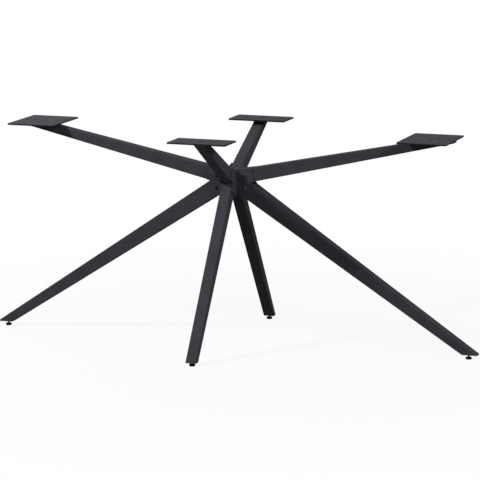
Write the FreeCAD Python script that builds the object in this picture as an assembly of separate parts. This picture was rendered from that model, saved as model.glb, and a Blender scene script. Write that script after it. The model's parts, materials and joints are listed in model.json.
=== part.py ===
import FreeCAD, Part
import math
import os

# Four star table base: four V-shaped limbs bolted to a hub, two long and two short.
# Millimetres. The origin is on the floor under the middle of the hub, +Z is up,
# the long pair lies along X and the short pair along Y, with the front towards -Y.

# Whole base
base_height = 720.0
hub_drop = 172.0

# Tubes of the arms and legs
limb_thickness = 37.0
tube_wall = 2.0
tube_edge_radius = 3.0
mitre_gap = 0.4
arm_tip_height = 4.4

# Hub: a square post with pairs of cheek plates
cheek_thickness = 4.0
cheek_play = 0.2
cheek_edge = 0.6
post_height = 82.0
post_wall = 4.0
post_cap_thickness = 3.0
butt_gap = 0.4
cheek_past_arm_bolt = 28.0
cheek_past_leg_bolt = 17.0

# Hub bolts: M8 button heads with a hexagon socket, and nuts welded inside the tubes
bolt_spread = 43.0
bolt_diameter = 8.0
bolt_length = 16.0
bolt_head_diameter = 14.0
bolt_head_height = 4.4
bolt_head_flat = 7.6
bolt_head_shoulder_diameter = 12.4
bolt_head_shoulder_height = 2.6
bolt_socket_width = 5.0
bolt_socket_depth = 2.8
bolt_hole_diameter = 8.6
bolt_nut_width = 13.0
bolt_nut_height = 6.5
thread_clearance = 0.05

# Top plates, and the screws that hold them to the arms
plate_thickness = 5.0
plate_corner_radius = 6.0
plate_edge = 0.6
arm_head_thickness = 6.0
plate_screw_diameter = 6.0
plate_screw_length = 10.0
plate_screw_head_diameter = 12.0
plate_screw_sink = 0.2
plate_screw_socket_width = 4.0
plate_screw_socket_depth = 2.4
plate_screw_hole_diameter = 6.4
top_screw_hole_diameter = 7.0
top_screw_spread = 110.0

# Screw feet
leg_end_plate_thickness = 3.0
foot_pad_diameter = 20.0
foot_pad_height = 8.5
foot_pad_floor_edge = 2.0
foot_pad_top_edge = 0.8
foot_pad_floor_thickness = 3.0
foot_stud_diameter = 6.0
foot_stud_above_leg_end = 14.0
foot_stud_hole_diameter = 6.6
foot_nut_width = 10.0
foot_nut_height = 5.0

# Each V in its own upright plane: reaches from the hub's middle, rises and drops from the hub's centre,
# and insets back towards the hub from the end of the piece
long_v = {
    "crotch_reach": 71.5,
    "bolt_inset": 20.5,
    "arm_rise_at_post": 39.0,
    "leg_drop_at_post": 37.0,
    "plate_outer": 763.0,
    "plate_length": 166.0,
    "plate_width": 230.0,
    "top_screw_inset": 66.0,
    "arm_end_inset": 0.0,
    "arm_seat_length": 99.0,
    "plate_screw_inset": 22.0,
    "plate_screw_pitch": 31.0,
    "plate_screw_count": 3,
    "leg_end_height": 16.0,
    "leg_end_outer": 851.5,
    "leg_end_length": 53.5,
    "foot_inset": 33.0,
}
short_v = {
    "crotch_reach": 53.0,
    "bolt_inset": 12.0,
    "arm_rise_at_post": 34.0,
    "leg_drop_at_post": 28.5,
    "plate_outer": 356.0,
    "plate_length": 114.0,
    "plate_width": 200.0,
    "top_screw_inset": 58.0,
    "arm_end_inset": 29.0,
    "arm_seat_length": 44.5,
    "plate_screw_inset": 13.0,
    "plate_screw_pitch": 23.0,
    "plate_screw_count": 2,
    "leg_end_height": 12.0,
    "leg_end_outer": 409.0,
    "leg_end_length": 26.0,
    "foot_inset": 17.0,
}

# Name, sizes, heading about Z, and the names of the two sides seen along that heading
limbs = [
    ("right", long_v, 0.0, ("front", "back")),
    ("back", short_v, 90.0, ("right", "left")),
    ("left", long_v, 180.0, ("back", "front")),
    ("front", short_v, 270.0, ("left", "right")),
]

half_limb = limb_thickness / 2
half_post = half_limb + cheek_play + cheek_thickness
half_inside = half_limb - tube_wall
plate_under = base_height - plate_thickness
hub_centre_height = base_height - hub_drop
limb_start = half_post + butt_gap
post_top = hub_centre_height + post_height / 2
post_bottom = hub_centre_height - post_height / 2
UP = FreeCAD.Vector(0, 0, 1)
TINY = 1e-6


class Line:
    """A straight line in a V's plane, through two points (reach, height)."""

    def __init__(self, start, end):
        self.start = start
        run = end[0] - start[0]
        rise = end[1] - start[1]
        length = math.hypot(run, rise)
        self.along = (run / length, rise / length)

    def height(self, reach):
        return self.start[1] + (reach - self.start[0]) * self.along[1] / self.along[0]

    def reach(self, height):
        return self.start[0] + (height - self.start[1]) * self.along[0] / self.along[1]

    def moved_up(self, distance):
        """The line moved square to itself, upwards for a positive distance."""
        start = (self.start[0] - self.along[1] * distance, self.start[1] + self.along[0] * distance)
        end = (start[0] + self.along[0], start[1] + self.along[1])
        return Line(start, end)

    def meets(self, other):
        """The point where two lines cross."""
        gap = (other.start[0] - self.start[0], other.start[1] - self.start[1])
        turn = self.along[0] * other.along[1] - self.along[1] * other.along[0]
        step = (gap[0] * other.along[1] - gap[1] * other.along[0]) / turn
        return (self.start[0] + step * self.along[0], self.start[1] + step * self.along[1])


def arm_end(v):
    """How far out the arm's blunt tip reaches."""
    return v["plate_outer"] - v["arm_end_inset"]


def edges_of(v):
    """The four edges of a V's limbs and the mitre between them."""
    crotch = (v["crotch_reach"], hub_centre_height)
    tip = arm_end(v)
    arm_top = Line(
        (half_post, hub_centre_height + v["arm_rise_at_post"]),
        (tip - v["arm_seat_length"], plate_under),
    )
    arm_under = Line(crotch, (tip, plate_under - arm_tip_height))
    leg_top = Line(crotch, (v["leg_end_outer"], v["leg_end_height"]))
    leg_under = Line(
        (half_post, hub_centre_height - v["leg_drop_at_post"]),
        (v["leg_end_outer"] - v["leg_end_length"], v["leg_end_height"]),
    )
    between = (arm_under.along[0] + leg_top.along[0], arm_under.along[1] + leg_top.along[1])
    mitre = Line(crotch, (crotch[0] + between[0], crotch[1] + between[1]))
    return arm_top, arm_under, leg_top, leg_under, mitre


def level_edges(solid, height):
    """A solid's edges that lie at one height."""
    return [
        edge for edge in solid.Edges
        if abs(edge.BoundBox.ZMin - height) + abs(edge.BoundBox.ZMax - height) < TINY
    ]


def prism(outline, low, high):
    """A V-plane outline drawn out across the plane, from low to high."""
    points = [FreeCAD.Vector(reach, low, height) for reach, height in outline]
    face = Part.Face(Part.makePolygon(points + points[:1]))
    return face.extrude(FreeCAD.Vector(0, high - low, 0))


def cylinder(diameter, low, high, place=(0.0, 0.0)):
    """An upright round bar between two heights."""
    return Part.makeCylinder(diameter / 2, high - low, FreeCAD.Vector(place[0], place[1], low))


def hexagon(width, low, high):
    """An upright hexagon bar, its width measured across the flats."""
    corner = width / math.sqrt(3)
    ring = [math.radians(60 * step) for step in range(6)]
    points = [FreeCAD.Vector(corner * math.cos(a), corner * math.sin(a), low) for a in ring]
    return Part.Face(Part.makePolygon(points + points[:1])).extrude(UP * (high - low))


def turned(profile):
    """A solid turned about Z from a closed outline of points (radius, height)."""
    points = [FreeCAD.Vector(radius, 0, height) for radius, height in profile]
    face = Part.Face(Part.makePolygon(points + points[:1]))
    return face.revolve(FreeCAD.Vector(0, 0, 0), UP, 360)


def rounded(solid, runs, half_width, radius):
    """Rounds the long corner edges of a tube: each run is a pair of points in the V's plane."""
    chosen = []
    for start, end in runs:
        for side in (-half_width, half_width):
            middle = FreeCAD.Vector((start[0] + end[0]) / 2, side, (start[1] + end[1]) / 2)
            spot = Part.Vertex(middle)
            chosen.append(min(solid.Edges, key=lambda edge: edge.distToShape(spot)[0]))
    return solid.makeFillet(radius, chosen)


def bolt_points(v):
    """Where the arm's bolt and the leg's bolt sit."""
    reach = v["crotch_reach"] - v["bolt_inset"]
    arm_bolt = (reach, hub_centre_height + bolt_spread / 2)
    leg_bolt = (reach, hub_centre_height - bolt_spread / 2)
    return arm_bolt, leg_bolt


def bolt_hole(point, diameter):
    """A hole right across a V at one of its bolts."""
    start = FreeCAD.Vector(point[0], -2 * half_post, point[1])
    return Part.makeCylinder(diameter / 2, 4 * half_post, start, FreeCAD.Vector(0, 1, 0))


def arm_cavity(v):
    """The hollow of an arm, closed by the tube's wall at its outer tip."""
    arm_top, arm_under, _, _, _ = edges_of(v)
    roof = arm_top.moved_up(-tube_wall)
    floor = arm_under.moved_up(tube_wall)
    tip = arm_end(v) - tube_wall
    outline = [
        (half_post, roof.height(half_post)),
        (roof.reach(plate_under), plate_under),
        (tip, plate_under),
        (tip, floor.height(tip)),
        (half_post, floor.height(half_post)),
    ]
    return prism(outline, -half_inside, half_inside)


def make_arm(v):
    """Tapered tube from the hub up to the plate, cut level on top and mitred against the leg."""
    arm_top, arm_under, _, _, mitre = edges_of(v)
    cut = mitre.moved_up(mitre_gap / 2)
    notch = cut.meets(arm_under)
    tip = arm_end(v)
    top_run = ((limb_start, arm_top.height(limb_start)), (tip - v["arm_seat_length"], plate_under))
    under_run = (notch, (tip, plate_under - arm_tip_height))
    outline = [
        top_run[0],
        top_run[1],
        (tip, plate_under),
        under_run[1],
        under_run[0],
        (limb_start, cut.height(limb_start)),
    ]
    body = prism(outline, -half_limb, half_limb)
    body = rounded(body, [top_run, under_run], half_limb, tube_edge_radius)
    body = body.cut(arm_cavity(v))
    return body.cut(bolt_hole(bolt_points(v)[0], bolt_hole_diameter))


def leg_cavity(v):
    """The hollow of a leg, open at both ends."""
    _, _, leg_top, leg_under, _ = edges_of(v)
    roof = leg_top.moved_up(-tube_wall)
    floor = leg_under.moved_up(tube_wall)
    end = v["leg_end_height"]
    outline = [
        (half_post, roof.height(half_post)),
        (roof.reach(end), end),
        (floor.reach(end), end),
        (half_post, floor.height(half_post)),
    ]
    return prism(outline, -half_inside, half_inside)


def make_leg(v):
    """Tapered tube from the hub down to the floor, mitred against the arm and cut level at its foot."""
    _, _, leg_top, leg_under, mitre = edges_of(v)
    cut = mitre.moved_up(-mitre_gap / 2)
    notch = cut.meets(leg_top)
    top_run = (notch, (v["leg_end_outer"], v["leg_end_height"]))
    end_inner = v["leg_end_outer"] - v["leg_end_length"]
    under_run = ((end_inner, v["leg_end_height"]), (limb_start, leg_under.height(limb_start)))
    outline = [(limb_start, cut.height(limb_start)), top_run[0], top_run[1], under_run[0], under_run[1]]
    body = prism(outline, -half_limb, half_limb)
    body = rounded(body, [top_run, under_run], half_limb, tube_edge_radius)
    body = body.cut(leg_cavity(v))
    return body.cut(bolt_hole(bolt_points(v)[1], bolt_hole_diameter))


def stub_end(over, under, bolt, past):
    """The square end of a cheek across one limb: its corners on the limb's upper and lower edge."""
    lean = (over.along[0] + under.along[0], over.along[1] + under.along[1])
    length = math.hypot(lean[0], lean[1])
    along = (lean[0] / length, lean[1] / length)
    point = (bolt[0] + along[0] * past, bolt[1] + along[1] * past)
    across = Line(point, (point[0] - along[1], point[1] + along[0]))
    return across.meets(over), across.meets(under)


def make_cheek(v, side):
    """V-shaped plate on one side of a V, welded to the post; side is -1 or +1."""
    arm_top, arm_under, leg_top, leg_under, _ = edges_of(v)
    arm_bolt, leg_bolt = bolt_points(v)
    upper_end = stub_end(arm_top, arm_under, arm_bolt, cheek_past_arm_bolt)
    lower_end = stub_end(leg_top, leg_under, leg_bolt, cheek_past_leg_bolt)
    crotch = (v["crotch_reach"], hub_centre_height)
    outline = [
        (half_post, post_top),
        upper_end[0],
        upper_end[1],
        crotch,
        lower_end[0],
        lower_end[1],
        (half_post, post_bottom),
    ]
    near = side * (half_limb + cheek_play)
    far = side * half_post
    plate = prism(outline, min(near, far), max(near, far))
    outer = [edge for edge in plate.Edges if abs(edge.BoundBox.YMin - far) + abs(edge.BoundBox.YMax - far) < TINY]
    free = [edge for edge in outer if edge.BoundBox.XMax > half_post + TINY]
    plate = plate.makeChamfer(cheek_edge, free)
    for bolt in (arm_bolt, leg_bolt):
        plate = plate.cut(bolt_hole(bolt, bolt_hole_diameter))
    return plate


def make_post():
    """Square tube in the middle of the hub."""
    width = 2 * half_post
    inside = width - 2 * post_wall
    corner = FreeCAD.Vector(-half_post, -half_post, post_bottom)
    hollow = FreeCAD.Vector(-inside / 2, -inside / 2, post_bottom)
    post = Part.makeBox(width, width, post_height, corner)
    return post.cut(Part.makeBox(inside, inside, post_height, hollow))


def make_post_cap(low):
    """Square plate set flush into one end of the post."""
    inside = 2 * (half_post - post_wall)
    return Part.makeBox(inside, inside, post_cap_thickness, FreeCAD.Vector(-inside / 2, -inside / 2, low))


def make_bolt():
    """Button head bolt: its head stands on z = 0 and its shank goes down."""
    rim = (bolt_head_diameter / 2, 0.0)
    shoulder = (bolt_head_shoulder_diameter / 2, bolt_head_shoulder_height)
    crown = (bolt_head_flat / 2, bolt_head_height)
    head = turned([(0.0, 0.0), rim, shoulder, crown, (0.0, bolt_head_height)])
    head = head.cut(hexagon(bolt_socket_width, bolt_head_height - bolt_socket_depth, bolt_head_height))
    return head.fuse(cylinder(bolt_diameter, -bolt_length, 0)).removeSplitter()


def make_nut(width, height, thread_diameter):
    """Hexagon nut that hangs below z = 0."""
    bore = thread_diameter + 2 * thread_clearance
    return hexagon(width, -height, 0).cut(cylinder(bore, -height, 0))


def at_side(shape, point, out, side):
    """Turns a shape made along Z so that it points sideways out of a V at one of its bolts."""
    copy = shape.copy()
    facing = FreeCAD.Rotation(UP, FreeCAD.Vector(0, side, 0))
    copy.Placement = FreeCAD.Placement(FreeCAD.Vector(point[0], side * out, point[1]), facing)
    return copy


def at_both_sides(v, shape, out):
    """A shape at each of a V's bolts, on both sides."""
    return [at_side(shape, point, out, side) for point in bolt_points(v) for side in (-1, 1)]


def plate_screw_reaches(v):
    """How far out the screws through the plate sit, from the outermost inwards."""
    last = arm_end(v) - v["plate_screw_inset"]
    return [last - v["plate_screw_pitch"] * step for step in range(v["plate_screw_count"])]


def screw_cone(head_diameter, shank_diameter):
    """A countersunk head's cone, with its flat top on z = 0."""
    depth = (head_diameter - shank_diameter) / 2
    return Part.makeCone(shank_diameter / 2, head_diameter / 2, depth, FreeCAD.Vector(0, 0, -depth))


def make_plate_screw():
    """Countersunk screw with a hexagon socket, its flat top on z = 0."""
    shank = cylinder(plate_screw_diameter, -plate_screw_length, 0)
    screw = shank.fuse(screw_cone(plate_screw_head_diameter, plate_screw_diameter)).removeSplitter()
    return screw.cut(hexagon(plate_screw_socket_width, -plate_screw_socket_depth, 0))


def make_top_plate(v):
    """Flat plate under the table top, with the holes for its screws."""
    corner = FreeCAD.Vector(v["plate_outer"] - v["plate_length"], -v["plate_width"] / 2, plate_under)
    plate = Part.makeBox(v["plate_length"], v["plate_width"], plate_thickness, corner)
    upright = [edge for edge in plate.Edges if edge.BoundBox.ZLength > plate_thickness / 2]
    plate = plate.makeFillet(plate_corner_radius, upright)
    rims = level_edges(plate, plate_under) + level_edges(plate, base_height)
    plate = plate.makeChamfer(plate_edge, rims)
    sink = plate_screw_hole_diameter - plate_screw_diameter
    cone = screw_cone(plate_screw_head_diameter + sink, plate_screw_hole_diameter)
    for reach in plate_screw_reaches(v):
        plate = plate.cut(cylinder(plate_screw_hole_diameter, plate_under, base_height, (reach, 0)))
        countersink = cone.copy()
        countersink.translate(FreeCAD.Vector(reach, 0, base_height - plate_screw_sink))
        plate = plate.cut(countersink)
        mouth = plate_screw_head_diameter + sink
        plate = plate.cut(cylinder(mouth, base_height - plate_screw_sink, base_height, (reach, 0)))
    for side in (-1, 1):
        place = (v["plate_outer"] - v["top_screw_inset"], side * top_screw_spread / 2)
        plate = plate.cut(cylinder(top_screw_hole_diameter, plate_under, base_height, place))
    return plate


def level_slab(low, high):
    """A wide level slice, used to take a piece out of a tube's hollow."""
    reach = 2 * max(long_v["leg_end_outer"], short_v["leg_end_outer"])
    return Part.makeBox(reach, 2 * limb_thickness, high - low, FreeCAD.Vector(0, -limb_thickness, low))


def make_arm_head(v):
    """Plate welded into the arm's level upper end, tapped for the plate screws."""
    head = arm_cavity(v).common(level_slab(plate_under - arm_head_thickness, plate_under))
    tapped = plate_screw_diameter + 2 * thread_clearance
    screw_end = base_height - plate_screw_sink - plate_screw_length
    for reach in plate_screw_reaches(v):
        head = head.cut(cylinder(tapped, screw_end, plate_under, (reach, 0)))
    return head


def foot_place(v):
    return (v["leg_end_outer"] - v["foot_inset"], 0.0)


def make_leg_end_plate(v):
    """Plate welded into the leg's level lower end, with a clear hole for the stud."""
    low = v["leg_end_height"]
    high = low + leg_end_plate_thickness
    plate = leg_cavity(v).common(level_slab(low, high))
    return plate.cut(cylinder(foot_stud_hole_diameter, low, high, foot_place(v)))


def make_foot_nut(v):
    """Nut welded on top of the leg's end plate."""
    nut = make_nut(foot_nut_width, foot_nut_height, foot_stud_diameter)
    place = foot_place(v)
    top = v["leg_end_height"] + leg_end_plate_thickness + foot_nut_height
    nut.translate(FreeCAD.Vector(place[0], place[1], top))
    return nut


def make_foot_stud(v):
    """Stud of a screw foot, seated in the pad."""
    top = v["leg_end_height"] + foot_stud_above_leg_end
    return cylinder(foot_stud_diameter, foot_pad_floor_thickness, top, foot_place(v))


def make_foot_pad(v):
    """Round moulded pad with bevelled edges and a hole for the stud."""
    radius = foot_pad_diameter / 2
    pad = turned([
        (0.0, 0.0),
        (radius - foot_pad_floor_edge, 0.0),
        (radius, foot_pad_floor_edge),
        (radius, foot_pad_height - foot_pad_top_edge),
        (radius - foot_pad_top_edge, foot_pad_height),
        (0.0, foot_pad_height),
    ])
    bore = foot_stud_diameter + 2 * thread_clearance
    pad = pad.cut(cylinder(bore, foot_pad_floor_thickness, foot_pad_height))
    place = foot_place(v)
    pad.translate(FreeCAD.Vector(place[0], place[1], 0))
    return pad


def headed(shape, heading):
    """A shape made along +X, turned about the hub's axis to its own heading."""
    copy = shape.copy()
    copy.rotate(FreeCAD.Vector(0, 0, 0), UP, heading)
    return copy


def save(name, shape):
    shape.exportStep(os.path.join("parts", name + ".step"))


os.makedirs("parts", exist_ok=True)

save("hub_post", make_post())
save("hub_top_cap", make_post_cap(post_top - post_cap_thickness))
save("hub_bottom_cap", make_post_cap(post_bottom))

hub_bolts = []
limb_nuts = []
plate_screws = []
for name, v, heading, sides in limbs:
    for side, side_name in zip((-1, 1), sides):
        save(name + "_cheek_" + side_name, headed(make_cheek(v, side), heading))
    save(name + "_arm", headed(make_arm(v), heading))
    save(name + "_leg", headed(make_leg(v), heading))
    save(name + "_top_plate", headed(make_top_plate(v), heading))
    save(name + "_arm_head", headed(make_arm_head(v), heading))
    save(name + "_leg_end_plate", headed(make_leg_end_plate(v), heading))
    save(name + "_foot_nut", headed(make_foot_nut(v), heading))
    save(name + "_foot_stud", headed(make_foot_stud(v), heading))
    save(name + "_foot_pad", headed(make_foot_pad(v), heading))
    hub_bolts += [headed(bolt, heading) for bolt in at_both_sides(v, make_bolt(), half_post)]
    nut = make_nut(bolt_nut_width, bolt_nut_height, bolt_diameter)
    limb_nuts += [headed(one, heading) for one in at_both_sides(v, nut, half_inside)]
    for reach in plate_screw_reaches(v):
        screw = make_plate_screw()
        screw.translate(FreeCAD.Vector(reach, 0, base_height - plate_screw_sink))
        plate_screws.append(headed(screw, heading))

save("hub_bolts", Part.makeCompound(hub_bolts))
save("limb_nuts", Part.makeCompound(limb_nuts))
save("plate_screws", Part.makeCompound(plate_screws))
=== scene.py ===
# %% [markdown]
# # A four star table base
#
# The object is a dining-table base: four V-shaped limbs of tapered steel tube, bolted to a hub in the
# middle. The arms rise to flat plates that carry the table top, and the legs run down to screw feet.
# The solids come from the CAD model. This script gives them their finish, adds the small detail that
# only a close look shows, and sets up a plain studio.

# %% Load the CAD model
import json
import math

import bmesh
import bpy
from mathutils import Matrix, Vector


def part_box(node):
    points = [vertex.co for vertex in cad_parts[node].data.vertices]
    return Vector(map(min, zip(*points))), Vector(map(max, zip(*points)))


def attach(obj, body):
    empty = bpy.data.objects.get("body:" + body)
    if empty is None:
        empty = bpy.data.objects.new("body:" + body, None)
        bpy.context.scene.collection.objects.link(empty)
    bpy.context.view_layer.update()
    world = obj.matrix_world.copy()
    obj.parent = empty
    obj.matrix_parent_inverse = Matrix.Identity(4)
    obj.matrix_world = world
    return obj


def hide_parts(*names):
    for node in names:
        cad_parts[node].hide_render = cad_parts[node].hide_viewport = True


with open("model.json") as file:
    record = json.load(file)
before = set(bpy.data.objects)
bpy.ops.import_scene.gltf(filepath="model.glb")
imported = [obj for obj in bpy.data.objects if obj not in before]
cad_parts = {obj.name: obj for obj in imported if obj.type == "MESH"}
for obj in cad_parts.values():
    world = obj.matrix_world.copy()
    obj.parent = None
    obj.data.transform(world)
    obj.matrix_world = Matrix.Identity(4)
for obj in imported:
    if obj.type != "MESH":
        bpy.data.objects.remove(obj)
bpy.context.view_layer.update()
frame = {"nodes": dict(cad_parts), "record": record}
nodes = frame["nodes"]

# %% [markdown]
# ## The camera
#
# The picture was taken with a long lens from far away, so the left and right limbs look almost equally
# long. A camera can be placed by hand, but here its azimuth, height angle, distance and focal length
# were worked out from the outline of the object, so they are written as numbers. Azimuth 0 looks along
# +Y, and a positive azimuth walks round to the right.

# %% Place the camera
AZIMUTH = math.radians(19.32)
ELEVATION = math.radians(10.09)
DISTANCE = 9.29
SENSOR_MM = 36.0
FOCAL_PIXELS = 2783.0
IMAGE_PIXELS = 480
LOOKED_AT = Vector((0.0, 0.0, 0.38))
AIM_RIGHT = 0.0259
AIM_DOWN = 0.0327

back = Vector((
    math.sin(AZIMUTH) * math.cos(ELEVATION),
    -math.cos(AZIMUTH) * math.cos(ELEVATION),
    math.sin(ELEVATION),
))
right = Vector((math.cos(AZIMUTH), math.sin(AZIMUTH), 0.0))
up = back.cross(right)
camera_place = LOOKED_AT + back * DISTANCE
aim = LOOKED_AT + right * AIM_RIGHT - up * AIM_DOWN

camera_data = bpy.data.cameras.new("camera")
camera_data.sensor_width = SENSOR_MM
camera_data.lens = FOCAL_PIXELS / IMAGE_PIXELS * SENSOR_MM
camera_data.clip_end = 100.0
camera = bpy.data.objects.new("camera", camera_data)
camera.location = camera_place
camera.rotation_euler = (aim - camera_place).to_track_quat("-Z", "Y").to_euler()
bpy.context.scene.collection.objects.link(camera)
bpy.context.scene.camera = camera
print("camera at", [round(c, 2) for c in camera_place], "lens", round(camera_data.lens, 1), "mm")

# %% [markdown]
# ## Colours and nodes
#
# Colours are written as sRGB hex values, the way a colour picker shows them. Blender's shaders work in
# linear light, so one function turns a hex value into linear numbers. A second small function adds a
# shader node, sets its options, and fills or links its inputs, so each material below reads as a list.
# A third starts a material with no nodes in it.

# %% Three helpers
def linear(hex_colour):
    """An sRGB hex value as linear red, green, blue and alpha."""
    values = [int(hex_colour[i:i + 2], 16) / 255 for i in (1, 3, 5)]
    return [v / 12.92 if v <= 0.04045 else ((v + 0.055) / 1.055) ** 2.4 for v in values] + [1.0]


def add(tree, kind, inputs, **options):
    """Adds a node: options are its properties, inputs are values or the sockets to link from."""
    made = tree.nodes.new(kind)
    for name, value in options.items():
        setattr(made, name, value)
    for name, value in inputs.items():
        if isinstance(value, bpy.types.NodeSocket):
            tree.links.new(value, made.inputs[name])
        else:
            made.inputs[name].default_value = value
    return made


def empty_material(name):
    """A material with nodes on, cleared of Blender's defaults."""
    material = bpy.data.materials.new(name)
    material.use_nodes = True
    material.node_tree.nodes.clear()
    return material


print("white is", linear("#ffffff")[:3], "and mid grey is", [round(v, 3) for v in linear("#808080")[:3]])

# %% [markdown]
# ## The studio
#
# The object stands on a white sweep, and its undersides are dark, so little light comes back up from the
# floor. The floor is a real surface that takes the shadow of the feet, but most of what the camera sees of
# it is plain white. A Light Path node does that: camera, glossy and transmission rays see a white sweep,
# and the rays that light the object see a grey one.

# %% Floor and surroundings
FLOOR_SIZE = 60.0
FLOOR_SHADOW_SHARE = 0.09
SHADOW_NEAR = 0.6
SHADOW_FAR = 2.2
SURROUND_STRENGTH = 0.02

scene = bpy.context.scene
scene.view_settings.view_transform = "Standard"


def seen_directly(tree):
    """1 for camera, glossy and transmission rays, otherwise 0."""
    path = add(tree, "ShaderNodeLightPath", {})
    first = add(tree, "ShaderNodeMath",
                {0: path.outputs["Is Camera Ray"], 1: path.outputs["Is Glossy Ray"]}, operation="MAXIMUM")
    both = add(tree, "ShaderNodeMath",
               {0: first.outputs[0], 1: path.outputs["Is Transmission Ray"]}, operation="MAXIMUM")
    return both.outputs[0]


floor_mesh = bpy.data.meshes.new("floor")
half = FLOOR_SIZE / 2
floor_corners = [(-half, -half, 0), (half, -half, 0), (half, half, 0), (-half, half, 0)]
floor_mesh.from_pydata(floor_corners, [], [(0, 1, 2, 3)])
floor = bpy.data.objects.new("floor", floor_mesh)
scene.collection.objects.link(floor)

paper = empty_material("white_paper_sweep")
tree = paper.node_tree
seen = seen_directly(tree)
tone = add(tree, "ShaderNodeMix",
           {"Factor": seen, "A": linear("#7a7a7a"), "B": linear("#f4f4f4")}, data_type="RGBA")
matt = add(tree, "ShaderNodeBsdfDiffuse", {"Color": tone.outputs["Result"]})
glow = add(tree, "ShaderNodeEmission", {"Color": linear("#ffffff"), "Strength": 1.0})
spot = add(tree, "ShaderNodeTexCoord", {})
away = add(tree, "ShaderNodeVectorMath", {0: spot.outputs["Object"]}, operation="LENGTH")
white = add(tree, "ShaderNodeMapRange",
            {"Value": away.outputs["Value"], "From Min": SHADOW_NEAR, "From Max": SHADOW_FAR,
             "To Min": 1.0 - FLOOR_SHADOW_SHARE, "To Max": 1.0}, interpolation_type="SMOOTHSTEP")
share = add(tree, "ShaderNodeMath", {0: seen, 1: white.outputs["Result"]}, operation="MULTIPLY")
mixed = add(tree, "ShaderNodeMixShader",
            {0: share.outputs[0], 1: matt.outputs[0], 2: glow.outputs[0]})
add(tree, "ShaderNodeOutputMaterial", {"Surface": mixed.outputs[0]})
floor_mesh.materials.append(paper)

world = bpy.data.worlds.new("studio")
world.use_nodes = True
tree = world.node_tree
tree.nodes.clear()
strength = add(tree, "ShaderNodeMapRange",
               {"Value": seen_directly(tree), "To Min": SURROUND_STRENGTH, "To Max": 1.0})
backdrop = add(tree, "ShaderNodeBackground",
               {"Color": linear("#ffffff"), "Strength": strength.outputs["Result"]})
add(tree, "ShaderNodeOutputWorld", {"Surface": backdrop.outputs[0]})
scene.world = world
print("floor", FLOOR_SIZE, "m across, surroundings light the object at", SURROUND_STRENGTH)

# %% [markdown]
# ## The lamps
#
# The shadows tell where the lamps are. The plates throw a slanted shadow on the near side of both long
# arms, so the main lamp is at the front left, about 40 degrees up, and small enough for a clear edge.
# The bolts on the right of the hub throw theirs down to the left, and the right sides of the back limb are
# half in the shade of the right limb, so two lamps stand at the right and the front right, further away,
# where they count for less. A faint low fill in front keeps the shaded sides from going black, and a
# stronger one behind does the same for the far side. Little comes from below, so the undersides stay dark.
# Area lamps suit this, because their size sets how soft a shadow is.

# %% Soft boxes
def soft_box(name, place, target, size, watts):
    """A square area lamp that faces a target."""
    data = bpy.data.lights.new(name, "AREA")
    data.shape = "SQUARE"
    data.size = size
    data.energy = watts
    lamp = bpy.data.objects.new(name, data)
    lamp.location = place
    lamp.rotation_euler = (Vector(target) - Vector(place)).to_track_quat("-Z", "Y").to_euler()
    scene.collection.objects.link(lamp)


HUB = (0.0, 0.0, 0.55)
soft_box("left_soft_box", (-2.6, -2.4, 3.65), HUB, 0.6, 139.0)
soft_box("right_soft_box", (7.2, -0.8, 4.65), HUB, 1.6, 140.0)
soft_box("right_front_soft_box", (5.4, -4.8, 4.2), HUB, 1.4, 136.0)
soft_box("front_fill", (-1.4, -3.6, 1.0), HUB, 1.2, 3.0)
soft_box("back_fill", (-3.4, 2.2, 1.0), HUB, 1.2, 80.0)

# %% [markdown]
# ## Powder-coated steel
#
# The tubes, plates and hub are mild steel with a baked polyester powder coat in anthracite. The powder
# melts into a skin that is matt and never quite flat: it has a fine grit and a slow waviness called
# orange peel, which scatters highlights into a soft sheen. The colour hardly varies, so the noise that
# mottles it is weak, and the grit tints it a little too. The grit is about 0.3 mm across, too fine for
# this picture, so it is drawn at 1.2 mm, just coarse enough to show in a close view.

# %% Material: powder-coated steel
MM = 0.001
GRIT_MM = 1.2
ORANGE_PEEL_MM = 7.0
MOTTLE_MM = 45.0


def per_metre(size_mm):
    """The texture scale at which one lump or cell is size_mm across."""
    return 1.0 / (size_mm * MM)


coat = empty_material("powder_coated_steel")
tree = coat.node_tree
place = add(tree, "ShaderNodeTexCoord", {}).outputs["Object"]
grit = add(tree, "ShaderNodeTexNoise", {"Vector": place, "Scale": per_metre(GRIT_MM), "Detail": 2.0})
peel = add(tree, "ShaderNodeTexNoise", {"Vector": place, "Scale": per_metre(ORANGE_PEEL_MM), "Detail": 1.0})
mottle = add(tree, "ShaderNodeTexNoise", {"Vector": place, "Scale": per_metre(MOTTLE_MM), "Detail": 3.0})
grain = add(tree, "ShaderNodeMath", {0: mottle.outputs["Fac"], 1: grit.outputs["Fac"]}, operation="ADD")
depth = add(tree, "ShaderNodeMapRange", {"Value": grain.outputs[0], "From Min": 0.5, "From Max": 1.5})
shade = add(tree, "ShaderNodeMix",
            {"Factor": depth.outputs["Result"], "A": linear("#3e3d43"), "B": linear("#504f56")},
            data_type="RGBA")
sheen = add(tree, "ShaderNodeMapRange",
            {"Value": grit.outputs["Fac"], "From Min": 0.3, "From Max": 0.7, "To Min": 0.78, "To Max": 0.92})
wave = add(tree, "ShaderNodeBump",
           {"Height": peel.outputs["Fac"], "Strength": 0.4, "Distance": 0.2 * MM})
tooth = add(tree, "ShaderNodeBump",
            {"Height": grit.outputs["Fac"], "Strength": 0.7, "Distance": 0.1 * MM, "Normal": wave.outputs[0]})
skin = add(tree, "ShaderNodeBsdfPrincipled",
           {"Base Color": shade.outputs["Result"], "Roughness": sheen.outputs["Result"], "IOR": 1.5,
            "Specular IOR Level": 0.06, "Normal": tooth.outputs[0]})
add(tree, "ShaderNodeOutputMaterial", {"Surface": skin.outputs[0]})
print("coat: grit", GRIT_MM, "mm, orange peel", ORANGE_PEEL_MM, "mm")

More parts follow.
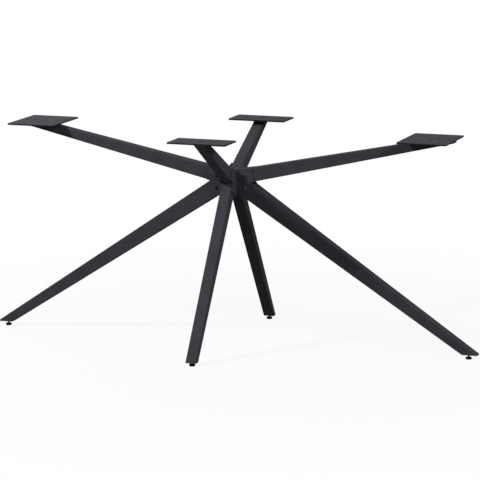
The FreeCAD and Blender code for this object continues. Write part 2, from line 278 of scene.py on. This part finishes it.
# %% [markdown]
# ## Painted shade on the cut edges
#
# The four plates have a darker rim, and it is painted shade: the cut edges, which face sideways, get a
# darker colour than the coat. This finish is a copy of the coat, and the upright component of the face's
# direction tells the flat faces from the edges. That needs no second mesh.

# %% Material: powder-coated plate with painted shade on its cut edges
plate_coat_with_painted_edge_shade = coat.copy()
plate_coat_with_painted_edge_shade.name = "powder_coated_plate_with_painted_edge_shade"
tree = plate_coat_with_painted_edge_shade.node_tree
facing = add(tree, "ShaderNodeNewGeometry", {})
upright = add(tree, "ShaderNodeSeparateXYZ", {"Vector": facing.outputs["True Normal"]})
level = add(tree, "ShaderNodeMath", {0: upright.outputs["Z"]}, operation="ABSOLUTE")
is_face = add(tree, "ShaderNodeMapRange", {"Value": level.outputs[0], "From Min": 0.4, "From Max": 0.8})
face_shade = tree.nodes[shade.name].outputs["Result"]
# The edges' darker colour is painted shade.
painted_rim_shade = add(tree, "ShaderNodeMix",
                {"Factor": is_face.outputs["Result"], "A": linear("#28272b"), "B": face_shade},
                data_type="RGBA")
tree.links.new(painted_rim_shade.outputs["Result"], tree.nodes[skin.name].inputs["Base Color"])
print("cut edges darken from", coat.name, "to", plate_coat_with_painted_edge_shade.name)

# %% [markdown]
# ## Black zinc plate
#
# The hub bolts are about as dark as the coat round them. Such bolts are zinc plated and then dipped in a
# black chromate, which leaves a dark grey, satin skin that clouds slightly from place to place.

# %% Material: black zinc plate
CLOUD_MM = 3.0
black_zinc = empty_material("black_zinc_plated_steel")
tree = black_zinc.node_tree
place = add(tree, "ShaderNodeTexCoord", {}).outputs["Object"]
cloud = add(tree, "ShaderNodeTexNoise", {"Vector": place, "Scale": per_metre(CLOUD_MM), "Detail": 2.0})
shade = add(tree, "ShaderNodeMix",
            {"Factor": cloud.outputs["Fac"], "A": linear("#434247"), "B": linear("#504f55")},
            data_type="RGBA")
gloss = add(tree, "ShaderNodeMapRange", {"Value": cloud.outputs["Fac"], "To Min": 0.50, "To Max": 0.66})
metal = add(tree, "ShaderNodeBsdfPrincipled",
            {"Base Color": shade.outputs["Result"], "Roughness": gloss.outputs["Result"], "Metallic": 0.25,
             "Specular IOR Level": 0.12})
add(tree, "ShaderNodeOutputMaterial", {"Surface": metal.outputs[0]})
print("black zinc clouds", CLOUD_MM, "mm")

# %% [markdown]
# ## Black oxide steel, also painted shade in the sockets
#
# The plate screws and the studs are blackened steel: heated in a salt bath until a thin oxide grows.
# The oxide is nearly black and a little uneven where oil sits, so the screws show as dark spots. The
# sockets of the hub bolts take this near-black colour too, as painted shade in their deep recess.

# %% Material: black oxide steel, also painted shade in the sockets
OIL_FILM_MM = 4.0
oxide_and_socket_shade = empty_material("black_oxide_and_painted_socket_shade")
tree = oxide_and_socket_shade.node_tree
place = add(tree, "ShaderNodeTexCoord", {}).outputs["Object"]
film = add(tree, "ShaderNodeTexNoise", {"Vector": place, "Scale": per_metre(OIL_FILM_MM), "Detail": 3.0})
shade = add(tree, "ShaderNodeMix",
            {"Factor": film.outputs["Fac"], "A": linear("#060607"), "B": linear("#0c0c0d")},
            data_type="RGBA")
gloss = add(tree, "ShaderNodeMapRange", {"Value": film.outputs["Fac"], "To Min": 0.45, "To Max": 0.62})
metal = add(tree, "ShaderNodeBsdfPrincipled",
            {"Base Color": shade.outputs["Result"], "Roughness": gloss.outputs["Result"],
             "Specular IOR Level": 0.01})
add(tree, "ShaderNodeOutputMaterial", {"Surface": metal.outputs[0]})
print("oxide film patches", OIL_FILM_MM, "mm")

# %% [markdown]
# ## Zinc-plated steel
#
# The nuts inside the tubes are zinc plated: pale, slightly blue, with a frosty grain of crystals.

# %% Material: zinc-plated steel
CRYSTAL_MM = 1.5
zinc = empty_material("zinc_plated_steel")
tree = zinc.node_tree
place = add(tree, "ShaderNodeTexCoord", {}).outputs["Object"]
crystals = add(tree, "ShaderNodeTexVoronoi", {"Vector": place, "Scale": per_metre(CRYSTAL_MM)})
shade = add(tree, "ShaderNodeMix",
            {"Factor": crystals.outputs["Distance"], "A": linear("#a9adb3"), "B": linear("#c6c9cd")},
            data_type="RGBA")
gloss = add(tree, "ShaderNodeMapRange",
            {"Value": crystals.outputs["Distance"], "To Min": 0.30, "To Max": 0.45})
metal = add(tree, "ShaderNodeBsdfPrincipled",
            {"Base Color": shade.outputs["Result"], "Roughness": gloss.outputs["Result"], "Metallic": 1.0})
add(tree, "ShaderNodeOutputMaterial", {"Surface": metal.outputs[0]})
print("zinc crystals", CRYSTAL_MM, "mm")

# %% [markdown]
# ## Moulded nylon
#
# The pads under the feet are black nylon, moulded in a tool with a fine spark-eroded texture. That gives
# a matt black with a weak, broad highlight.

# %% Material: moulded nylon
SPARK_TEXTURE_MM = 0.6
nylon = empty_material("moulded_nylon")
tree = nylon.node_tree
place = add(tree, "ShaderNodeTexCoord", {}).outputs["Object"]
sparks = add(tree, "ShaderNodeTexNoise",
             {"Vector": place, "Scale": per_metre(SPARK_TEXTURE_MM), "Detail": 2.0})
shade = add(tree, "ShaderNodeMix",
            {"Factor": sparks.outputs["Fac"], "A": linear("#0e0e0f"), "B": linear("#161617")},
            data_type="RGBA")
pits = add(tree, "ShaderNodeBump",
           {"Height": sparks.outputs["Fac"], "Strength": 0.4, "Distance": 0.04 * MM})
plastic = add(tree, "ShaderNodeBsdfPrincipled",
              {"Base Color": shade.outputs["Result"], "Roughness": 0.85, "IOR": 1.53,
               "Specular IOR Level": 0.05, "Normal": pits.outputs[0]})
add(tree, "ShaderNodeOutputMaterial", {"Surface": plastic.outputs[0]})
print("spark texture", SPARK_TEXTURE_MM, "mm")

# %% [markdown]
# ## Finish for each CAD node
#
# The record already says which material slot each node belongs to, so a table from slot to material is
# enough. Only the top plates differ: they take the finish with painted shade on the cut edges. The solids
# keep their meshes, and only their materials change.

# %% Assign the finishes
FINISHES = {
    "coated_steel": coat,
    "black_fasteners": oxide_and_socket_shade,
    "plain_steel": zinc,
    "stud_steel": oxide_and_socket_shade,
    "pad_plastic": nylon,
}
slots = {row["node"]: row["material_slot"] for row in frame["record"]["subparts"]}
for name, node in nodes.items():
    node.data.materials.clear()
    node.data.materials.append(plate_coat_with_painted_edge_shade if name.endswith("_top_plate") else FINISHES[slots[name]])
print({slot: sum(s == slot for s in slots.values()) for slot in FINISHES})

# %% [markdown]
# ## Turned shapes
#
# Bolt heads, studs and pads are all round about an axis. Blender's Screw modifier can spin a profile, but
# stacking rings of points in code keeps control of every ring, and lets a ring be a hexagon instead of a
# circle. Neighbouring rings are joined by quads, and the first and last ring are closed by one flat face.

# %% Stack rings into a closed shape
ROUND = 36
SMOOTH_BELOW = 35.0


def circle(radius, height, steps=ROUND):
    """Points of a level circle, in millimetres."""
    turn = 2 * math.pi / steps
    return [Vector((radius * math.cos(i * turn), radius * math.sin(i * turn), height)) for i in range(steps)]


def stack_rings(mesh, rings, place):
    """Adds rings of points to a mesh under construction, joined by quads and closed at both ends."""
    rows = [[mesh.verts.new(place @ (point * MM)) for point in ring] for ring in rings]
    faces = [mesh.faces.new(reversed(rows[0]))]
    for low, high in zip(rows, rows[1:]):
        for i in range(len(low)):
            faces.append(mesh.faces.new((low[i - 1], low[i], high[i], high[i - 1])))
    faces.append(mesh.faces.new(rows[-1]))
    return faces


def turned_piece(name, fill, finish, body, replaced, smooth_below=SMOOTH_BELOW):
    """A new object whose mesh is filled by a function, smooth at edges that bend less than the limit."""
    mesh = bmesh.new()
    fill(mesh)
    bmesh.ops.recalc_face_normals(mesh, faces=mesh.faces)
    for edge in mesh.edges:
        edge.smooth = len(edge.link_faces) == 2 and edge.calc_face_angle() < math.radians(smooth_below)
    for face in mesh.faces:
        face.smooth = True
    data = bpy.data.meshes.new(name)
    mesh.to_mesh(data)
    mesh.free()
    data.materials.append(finish)
    piece = bpy.data.objects.new(name, data)
    scene.collection.objects.link(piece)
    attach(piece, body)
    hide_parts(replaced)
    return piece


print("rings of", ROUND, "points")

# %% [markdown]
# ## Hub bolts
#
# Two M8 button-head bolts hold each cheek: a low dome with a hexagon socket for the key, bevelled at its
# mouth. The dome is an arc of rings, and its top ring changes from a circle to the socket's hexagon. Points
# on the hexagon are taken at the same angles as those on the circle, so that the quads between them stay
# straight. The socket and its bevel are painted near black on a second material slot: painted shade in the
# recess, since the real bolt is black zinc there too. The hub's middle, the cheeks' face and how far out the
# bolts sit are read from the CAD boxes.

# %% Shape of a hub bolt
HEAD_RADIUS = 7.0
HEAD_HEIGHT = 4.4
HEAD_FLAT_RADIUS = 3.8
HEAD_RIM = 0.7
HEAD_EDGE_BREAK = 0.2
DOME_STEPS = 5
SOCKET_ACROSS = 5.0
SOCKET_MOUTH = 6.3
SOCKET_BEVEL = 0.6
SOCKET_DEPTH = 3.4
SHANK_RADIUS = 4.0
SHANK_LENGTH = 16.0
SHANK_TIP_BEVEL = 0.8


def hexagon(across, height):
    """Points of a level hexagon, at the same angles as a circle's."""
    ring = []
    for point in circle(1.0, height):
        angle = math.atan2(point.y, point.x)
        off_flat = (angle + math.pi / 6) % (math.pi / 3) - math.pi / 6
        reach = across / 2 / math.cos(off_flat)
        ring.append(Vector((point.x * reach, point.y * reach, height)))
    return ring


def bolt_rings():
    """Rings of one bolt, from the shank's tip through the head to the socket's floor."""
    rings = [
        circle(SHANK_RADIUS - SHANK_TIP_BEVEL, -SHANK_LENGTH),
        circle(SHANK_RADIUS, SHANK_TIP_BEVEL - SHANK_LENGTH),
        circle(SHANK_RADIUS, 0.0),
        circle(HEAD_RADIUS - HEAD_EDGE_BREAK, 0.0),
        circle(HEAD_RADIUS, HEAD_EDGE_BREAK),
    ]
    for i in range(DOME_STEPS + 1):
        angle = math.pi / 2 * i / DOME_STEPS
        rings.append(circle(
            HEAD_FLAT_RADIUS + (HEAD_RADIUS - HEAD_FLAT_RADIUS) * math.cos(angle),
            HEAD_RIM + (HEAD_HEIGHT - HEAD_RIM) * math.sin(angle),
        ))
    rings.append(hexagon(SOCKET_MOUTH, HEAD_HEIGHT))
    rings.append(hexagon(SOCKET_ACROSS, HEAD_HEIGHT - SOCKET_BEVEL))
    rings.append(hexagon(SOCKET_ACROSS, HEAD_HEIGHT - SOCKET_DEPTH))
    return rings


print("one bolt:", len(bolt_rings()), "rings")

# %% Hub bolts
LIMBS = ("right", "back", "left", "front")
BOLT_SPREAD = 21.5
SOCKET_FACES = ROUND + ROUND + 1  # the bevel, the wall and the floor

post_low, post_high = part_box("hub_post")
HUB_HEIGHT = (post_low.z + post_high.z) / 2 / MM
CHEEK_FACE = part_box("right_cheek_back")[1].y / MM
bolts_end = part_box("hub_bolts")[1]


def fill_hub_bolts(mesh):
    """All sixteen bolts: two heights, on both cheeks of each of the four limbs."""
    rings = bolt_rings()
    for quarter in range(len(LIMBS)):
        reach = bolts_end[quarter % 2] / MM - HEAD_RADIUS
        turned = Matrix.Rotation(quarter * math.pi / 2, 4, "Z")
        for side in (-1, 1):
            facing_out = Matrix.Rotation(-side * math.pi / 2, 4, "X")
            for step in (-1, 1):
                seat = Vector((reach, side * CHEEK_FACE, HUB_HEIGHT + step * BOLT_SPREAD)) * MM
                faces = stack_rings(mesh, rings, turned @ Matrix.Translation(seat) @ facing_out)
                # The socket's faces take the near-black second slot: painted shade in the recess.
                for face in faces[-SOCKET_FACES:]:
                    face.material_index = 1


hub_bolts = turned_piece("domed_hub_bolts", fill_hub_bolts, black_zinc, "frame",
                         "hub_bolts")
# The second slot is the near-black oxide, here painted shade in the sockets.
hub_bolts.data.materials.append(oxide_and_socket_shade)
print("hub bolts:", len(hub_bolts.data.polygons), "faces, round a hub", round(HUB_HEIGHT), "mm up")

# %% [markdown]
# ## Foot studs
#
# Each foot turns on an M6 stud, pitch 1 mm. A thread is a groove that climbs as it goes round: the radius
# depends on the height and the angle together. Rings six to a turn of the pitch, with the radius read from
# the thread's shape, give a true helix without any boolean. The record's mount at each foot gives its
# axis, and the CAD box of a stud gives its two ends.

# %% Foot studs
STUD_RADIUS = 3.0
THREAD_PITCH = 1.0
THREAD_DEPTH = 0.55
FLANK_SLOPE = 2.6
CREST_FLAT = 0.5
THREAD_ROWS = 6
STUD_ROUND = 24
THREAD_SMOOTH_BELOW = 80.0

mounts = {row["name"]: Vector(row["pos_m"]) for row in frame["record"]["mounts"]}


def thread_radius(height, angle, top):
    """Radius of the thread: a flat crest, flanks that meet in a sharp root, and a bevel at the top."""
    phase = (height / THREAD_PITCH - angle / (2 * math.pi)) % 1.0
    groove = max(0.0, abs(phase - 0.5) * FLANK_SLOPE - CREST_FLAT)
    bevel = max(0.0, 1.0 - (top - height) / THREAD_PITCH)
    return STUD_RADIUS - THREAD_DEPTH * max(groove, bevel)


def on_foot_axis(limb):
    """Moves a shape from the origin to the axis of a limb's foot."""
    return Matrix.Translation(mounts[limb + "_foot_floor"])


def fill_stud(mesh, limb):
    """One threaded stud, standing on the limb's foot axis."""
    low, top = (corner.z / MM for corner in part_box(limb + "_foot_stud"))
    rows = round((top - low) / THREAD_PITCH * THREAD_ROWS)
    rings = []
    for row in range(rows + 1):
        height = low + row * THREAD_PITCH / THREAD_ROWS
        ring = circle(1.0, height, STUD_ROUND)
        for i, point in enumerate(ring):
            radius = thread_radius(height, i * 2 * math.pi / STUD_ROUND, top)
            point.x *= radius
            point.y *= radius
        rings.append(ring)
    stack_rings(mesh, rings, on_foot_axis(limb))


for limb in LIMBS:
    stud = turned_piece(limb + "_threaded_stud", lambda mesh: fill_stud(mesh, limb), oxide_and_socket_shade,
                        limb + "_foot", limb + "_foot_stud", THREAD_SMOOTH_BELOW)
    print(stud.name, "has", len(stud.data.polygons), "faces")

# %% [markdown]
# ## Foot pads
#
# A pad is moulded nylon: a disc with a rounded sole, a slightly drafted side and a boss round the stud.
# Its rings follow that outline from the middle of the sole, over the top, and down into the stud's hole.

# %% Foot pads
PAD_RADIUS = 10.0
PAD_HEIGHT = 8.5
SOLE_MIDDLE_RADIUS = 2.0
SOLE_ROUND = 1.9
SIDE_DRAFT = 0.3
TOP_ROUND = 0.8
CORNER_STEPS = 4
DISC_TOP = PAD_HEIGHT - 1.2
BOSS_FOOT = (5.4, PAD_HEIGHT - 1.0)
BOSS_SIDE = (5.0, PAD_HEIGHT - 0.1)
BOSS_TOP = (4.7, PAD_HEIGHT)
PAD_HOLE_RADIUS = 3.05
PAD_HOLE_MIDDLE_RADIUS = 1.0
PAD_FLOOR = 3.0


def pad_outline():
    """Radius and height of each ring of a pad."""
    quarter = [math.pi / 2 * i / CORNER_STEPS for i in range(CORNER_STEPS + 1)]
    sole = [(PAD_RADIUS - SOLE_ROUND * (1 - math.sin(angle)), SOLE_ROUND * (1 - math.cos(angle)))
            for angle in quarter]
    shoulder = [(PAD_RADIUS - SIDE_DRAFT - TOP_ROUND * (1 - math.cos(angle)),
                 DISC_TOP - TOP_ROUND * (1 - math.sin(angle))) for angle in quarter]
    boss = [BOSS_FOOT, BOSS_SIDE, BOSS_TOP]
    hole = [(PAD_HOLE_RADIUS, PAD_HEIGHT), (PAD_HOLE_RADIUS, PAD_FLOOR), (PAD_HOLE_MIDDLE_RADIUS, PAD_FLOOR)]
    return [(SOLE_MIDDLE_RADIUS, 0.0)] + sole + shoulder + boss + hole


pad_rings = [circle(radius, height) for radius, height in pad_outline()]
for limb in LIMBS:
    pad = turned_piece(limb + "_moulded_pad",
                       lambda mesh: stack_rings(mesh, pad_rings, on_foot_axis(limb)), nylon,
                       limb + "_foot", limb + "_foot_pad")
    print(pad.name, "has", len(pad.data.polygons), "faces")
